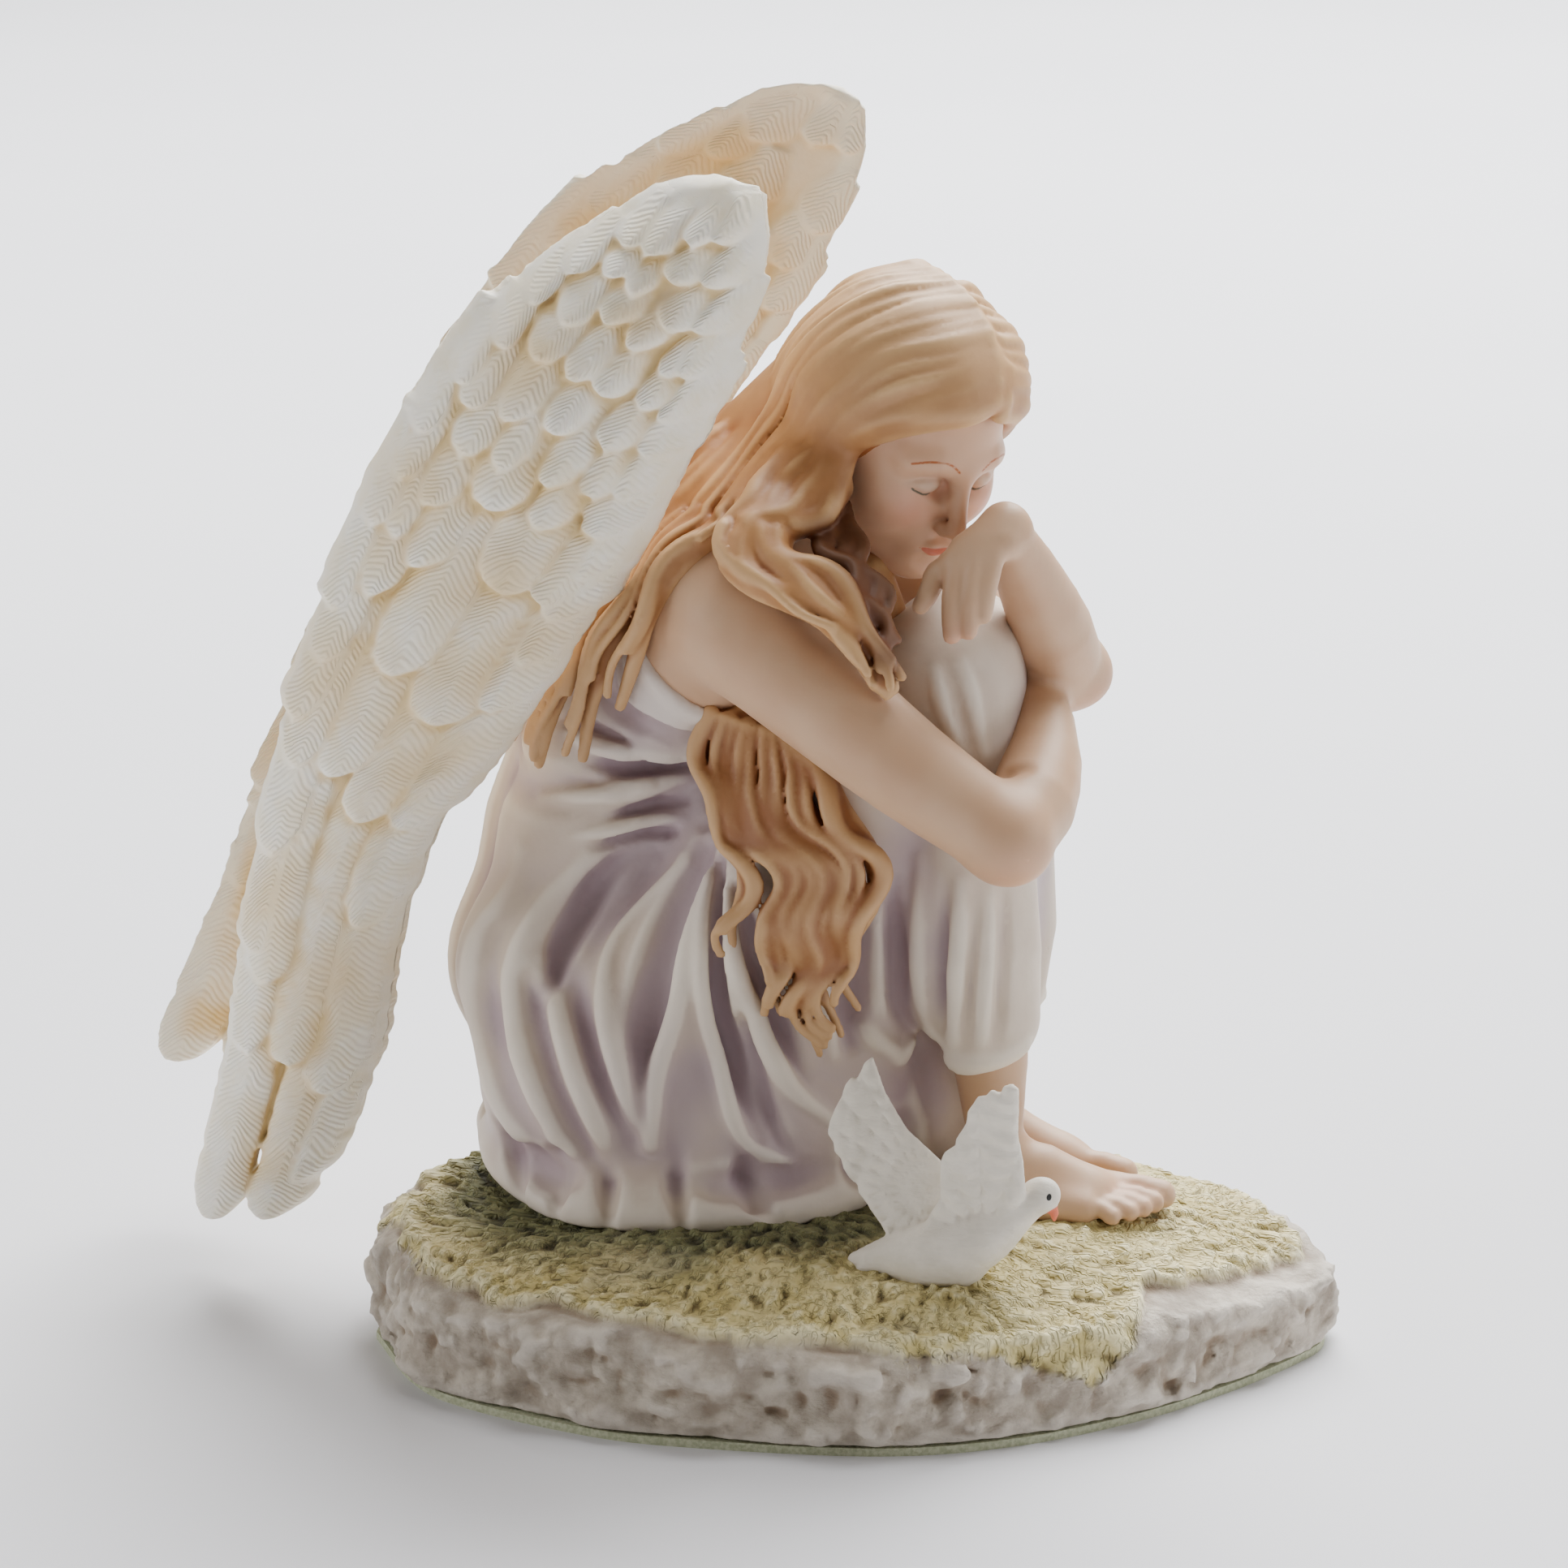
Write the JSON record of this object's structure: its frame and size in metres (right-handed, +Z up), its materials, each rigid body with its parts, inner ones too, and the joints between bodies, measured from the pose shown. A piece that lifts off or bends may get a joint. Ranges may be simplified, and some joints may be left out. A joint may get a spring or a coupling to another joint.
{
  "type": "angel figurine",
  "caption": "Cast resin figurine of a winged angel seated on a grassy rock, arms folded round the knees, with a small dove in front.",
  "frame": {"origin": "middle of the rock's outline on the underside of the felt pad", "axes": "+X the way the angel faces, -Y towards the side on show, +Z up"},
  "size_m": [0.1581, 0.0848, 0.1533],
  "materials": {
    "felt_pad": "pale green felt",
    "rock_base": "stone-filled resin, matt paint",
    "angel_figure": "stone-filled resin, matt paint",
    "right_wing": "stone-filled resin, matt paint",
    "left_wing": "stone-filled resin, matt paint",
    "dove": "stone-filled resin, matt paint"
  },
  "bodies": {
    "root": {"felt_pad": "felt_pad", "rock_base": "rock_base", "angel_figure": "angel_figure", "right_wing": "right_wing", "left_wing": "left_wing", "dove": "dove"}
  },
  "joints": []
}
